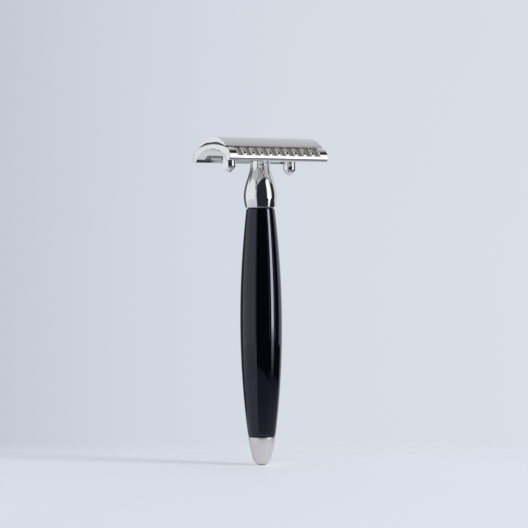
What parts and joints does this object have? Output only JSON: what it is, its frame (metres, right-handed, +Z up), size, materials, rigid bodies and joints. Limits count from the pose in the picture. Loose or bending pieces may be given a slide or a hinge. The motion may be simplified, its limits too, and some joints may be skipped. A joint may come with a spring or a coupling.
{
  "type": "safety razor",
  "caption": "Three-piece double-edge safety razor with a curved cap, a scalloped guard plate with corner posts, a slim metal neck, a bulging black grip and a rounded satin tip.",
  "frame": {"origin": "centre of the small flat foot under the end tip, on the handle's axis", "axes": "+Z up the handle to the cap, +X along the head's long side, +Y across the head towards one shaving edge"},
  "size_m": [0.043, 0.0282, 0.1242],
  "materials": {
    "polished_metal": "bright polished nickel-chrome plate",
    "satin_metal": "fine satin metal",
    "blade_steel": "ground stainless strip",
    "plain_steel": "plain turned steel",
    "black_resin": "deep gloss black resin",
    "black_fibre": "matt black fibre washer"
  },
  "bodies": {
    "handle": {"end_tip": "satin_metal", "lower_washer": "black_fibre", "grip": "black_resin", "upper_washer": "black_fibre", "neck_collar": "polished_metal", "tie_rod": "plain_steel"},
    "guard": {"guard_plate": "polished_metal", "corner_post_left": "polished_metal", "corner_post_right": "polished_metal"},
    "blade": {"blade": "blade_steel"},
    "cap": {"top_cap": "polished_metal", "cap_stud": "polished_metal", "cap_pin_left": "polished_metal", "cap_pin_right": "polished_metal"}
  },
  "joints": [
    {"name": "head_turn", "type": "hinge", "parent": "handle", "child": "guard", "pos_m": [0, 0, 0.1182], "axis": [0, 0, 1], "range_deg": [0, 2880]},
    {"name": "cap_lift", "type": "slide", "parent": "guard", "child": "cap", "axis": [0, 0, 1], "range_m": [0, 0.0064]},
    {"name": "blade_lift", "type": "slide", "parent": "guard", "child": "blade", "axis": [0, 0, 1], "range_m": [0, 0.0032]}
  ],
  "couplings": [
    {"joint": "cap_lift", "follows": "head_turn", "m_per_rad": 0.00012732},
    {"joint": "blade_lift", "follows": "head_turn", "m_per_rad": 0.00006366}
  ]
}
